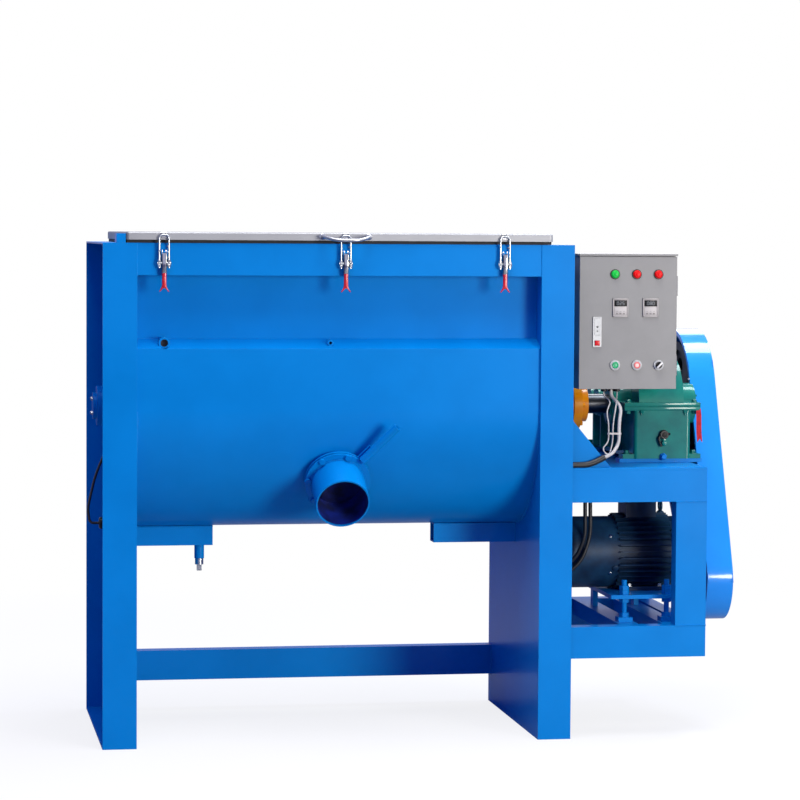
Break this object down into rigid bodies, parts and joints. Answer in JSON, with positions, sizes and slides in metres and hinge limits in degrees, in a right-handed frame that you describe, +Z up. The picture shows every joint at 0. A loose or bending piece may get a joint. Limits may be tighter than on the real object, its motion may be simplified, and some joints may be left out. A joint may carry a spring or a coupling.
{
  "type": "ribbon blender",
  "caption": "Horizontal ribbon blender: jacketed trough with hinged lid, helical ribbon shaft, swing gate spout, gearbox and belt drive, and a control box.",
  "frame": {"origin": "floor level, at the middle of the machine's bounding box", "axes": "+X from the trough towards the drive, +Y from the operator's side to the back, +Z up"},
  "size_m": [1.9752, 0.9488, 1.512],
  "materials": {
    "frame_paint": "gloss",
    "guard_paint": "gloss",
    "gearbox_paint": "semi-gloss over casting",
    "motor_paint": "gloss",
    "coupling_paint": "gloss",
    "box_coating": "fine texture",
    "stainless_sheet": "brushed",
    "plated_steel": "zinc plated",
    "machined_steel": "turned",
    "cast_iron": "as cast",
    "black_plastic": "moulded",
    "lamp_lens": "moulded",
    "green_plastic": "moulded",
    "red_plastic": "moulded",
    "latch_finish": "plated, red vinyl grip",
    "seal_rubber": "moulded",
    "belt_rubber": "wrapped",
    "cable_jacket": "extruded",
    "wire_jacket": "extruded",
    "tag_cloth": "woven tape"
  },
  "bodies": {
    "machine": {"end_frame_left": "frame_paint", "end_frame_right": "frame_paint", "frame_beams": "frame_paint", "trough_shell": "frame_paint", "jacket": "frame_paint", "jacket_fittings": "frame_paint", "drain_plug": "plated_steel", "spout_neck": "frame_paint", "spout_pipe": "frame_paint", "gate_bolts": "frame_paint", "main_bearings": "frame_paint", "shaft_seals": "frame_paint", "drive_frame": "frame_paint", "drive_platform": "frame_paint", "gearbox_lower_case": "gearbox_paint", "gearbox_upper_case": "gearbox_paint", "gearbox_covers": "gearbox_paint", "gearbox_fittings": "gearbox_paint", "belt_guard": "guard_paint", "v_belts": "belt_rubber", "motor_body": "motor_paint", "motor_fan_cover": "motor_paint", "motor_terminal_box": "motor_paint", "motor_base": "frame_paint", "tension_studs": "plated_steel", "control_box": "box_coating", "box_brackets": "frame_paint", "lid_hinges": "frame_paint", "latch_bases": "frame_paint", "heater_cap": "black_plastic", "heater_lead": "cable_jacket", "drive_conduits": "cable_jacket", "box_wires": "wire_jacket", "gearbox_tag": "tag_cloth"},
    "lid": {"lid": "stainless_sheet", "lid_gasket": "seal_rubber", "lid_fittings": "stainless_sheet"},
    "swing_gate": {"swing_gate": "frame_paint"},
    "ribbon_shaft": {"main_shaft": "machined_steel", "outer_ribbons": "stainless_sheet", "inner_ribbons": "stainless_sheet", "ribbon_arms": "stainless_sheet", "shaft_coupling": "coupling_paint"},
    "input_drive": {"input_pulley": "cast_iron"},
    "motor_drive": {"motor_pulley": "cast_iron"},
    "box_door": {"box_door": "box_coating", "pilot_lamps": "lamp_lens", "meters": "black_plastic", "door_fittings": "plated_steel"},
    "start_button": {"start_button": "green_plastic"},
    "stop_button": {"stop_button": "red_plastic"},
    "selector_knob": {"selector_knob": "black_plastic"},
    "lock_handle": {"lock_handle": "plated_steel"},
    "lock_button": {"lock_button": "red_plastic"},
    "latch_lever_1": {"latch_lever_1": "latch_finish"},
    "latch_bail_1": {"latch_bail_1": "plated_steel"},
    "latch_lever_2": {"latch_lever_2": "latch_finish"},
    "latch_bail_2": {"latch_bail_2": "plated_steel"},
    "latch_lever_3": {"latch_lever_3": "latch_finish"},
    "latch_bail_3": {"latch_bail_3": "plated_steel"}
  },
  "joints": [
    {"name": "ribbon_spin", "type": "hinge", "parent": "machine", "child": "ribbon_shaft", "pos_m": [-0.26436, -0.00056, 0.985], "axis": [1, 0, 0], "continuous": true},
    {"name": "input_spin", "type": "hinge", "parent": "machine", "child": "input_drive", "pos_m": [0.91764, 0.24945, 0.985], "axis": [1, 0, 0], "continuous": true},
    {"name": "motor_spin", "type": "hinge", "parent": "machine", "child": "motor_drive", "pos_m": [0.91764, -0.07056, 0.53], "axis": [1, 0, 0], "continuous": true},
    {"name": "lid_hinge", "type": "hinge", "parent": "machine", "child": "lid", "pos_m": [-0.26436, 0.39444, 1.494], "axis": [-1, 0, 0], "range_deg": [0, 95]},
    {"name": "gate_swing", "type": "hinge", "parent": "machine", "child": "swing_gate", "pos_m": [-0.33604, -0.29764, 0.72554], "axis": [0, 0.891, 0.454], "range_deg": [0, 120]},
    {"name": "box_door_hinge", "type": "hinge", "parent": "machine", "child": "box_door", "pos_m": [0.76864, -0.29756, 1.048], "axis": [0, 0, 1], "range_deg": [0, 120]},
    {"name": "start_press", "type": "slide", "parent": "box_door", "child": "start_button", "axis": [0, 1, 0], "range_m": [0, 0.004], "stiffness_N_per_m": 400},
    {"name": "stop_press", "type": "slide", "parent": "box_door", "child": "stop_button", "axis": [0, 1, 0], "range_m": [0, 0.004], "stiffness_N_per_m": 400},
    {"name": "selector_turn", "type": "hinge", "parent": "box_door", "child": "selector_knob", "pos_m": [0.71064, -0.31555, 1.12], "axis": [0, 1, 0], "range_deg": [-45, 45]},
    {"name": "lock_release", "type": "slide", "parent": "box_door", "child": "lock_button", "axis": [0, 1, 0], "range_m": [0, 0.002], "stiffness_N_per_m": 400},
    {"name": "lock_handle_swing", "type": "hinge", "parent": "box_door", "child": "lock_handle", "pos_m": [0.51964, -0.31805, 1.2585], "axis": [-1, 0, 0], "range_deg": [0, 35]},
    {"name": "latch_lever_1_swing", "type": "hinge", "parent": "machine", "child": "latch_lever_1", "pos_m": [-0.78736, -0.38855, 1.454], "axis": [-1, 0, 0], "range_deg": [0, 105]},
    {"name": "latch_bail_1_swing", "type": "hinge", "parent": "latch_lever_1", "child": "latch_bail_1", "pos_m": [-0.78736, -0.38655, 1.421], "axis": [-1, 0, 0], "range_deg": [-105, 0]},
    {"name": "latch_lever_2_swing", "type": "hinge", "parent": "machine", "child": "latch_lever_2", "pos_m": [-0.25436, -0.38855, 1.454], "axis": [-1, 0, 0], "range_deg": [0, 105]},
    {"name": "latch_bail_2_swing", "type": "hinge", "parent": "latch_lever_2", "child": "latch_bail_2", "pos_m": [-0.25436, -0.38655, 1.421], "axis": [-1, 0, 0], "range_deg": [-105, 0]},
    {"name": "latch_lever_3_swing", "type": "hinge", "parent": "machine", "child": "latch_lever_3", "pos_m": [0.22164, -0.38855, 1.454], "axis": [-1, 0, 0], "range_deg": [0, 105]},
    {"name": "latch_bail_3_swing", "type": "hinge", "parent": "latch_lever_3", "child": "latch_bail_3", "pos_m": [0.22164, -0.38655, 1.421], "axis": [-1, 0, 0], "range_deg": [-105, 0]}
  ],
  "couplings": [
    {"joint": "input_spin", "follows": "ribbon_spin", "ratio": 15.75},
    {"joint": "motor_spin", "follows": "ribbon_spin", "ratio": 37.237},
    {"joint": "latch_bail_1_swing", "follows": "latch_lever_1_swing", "ratio": -1},
    {"joint": "latch_bail_2_swing", "follows": "latch_lever_2_swing", "ratio": -1},
    {"joint": "latch_bail_3_swing", "follows": "latch_lever_3_swing", "ratio": -1}
  ]
}
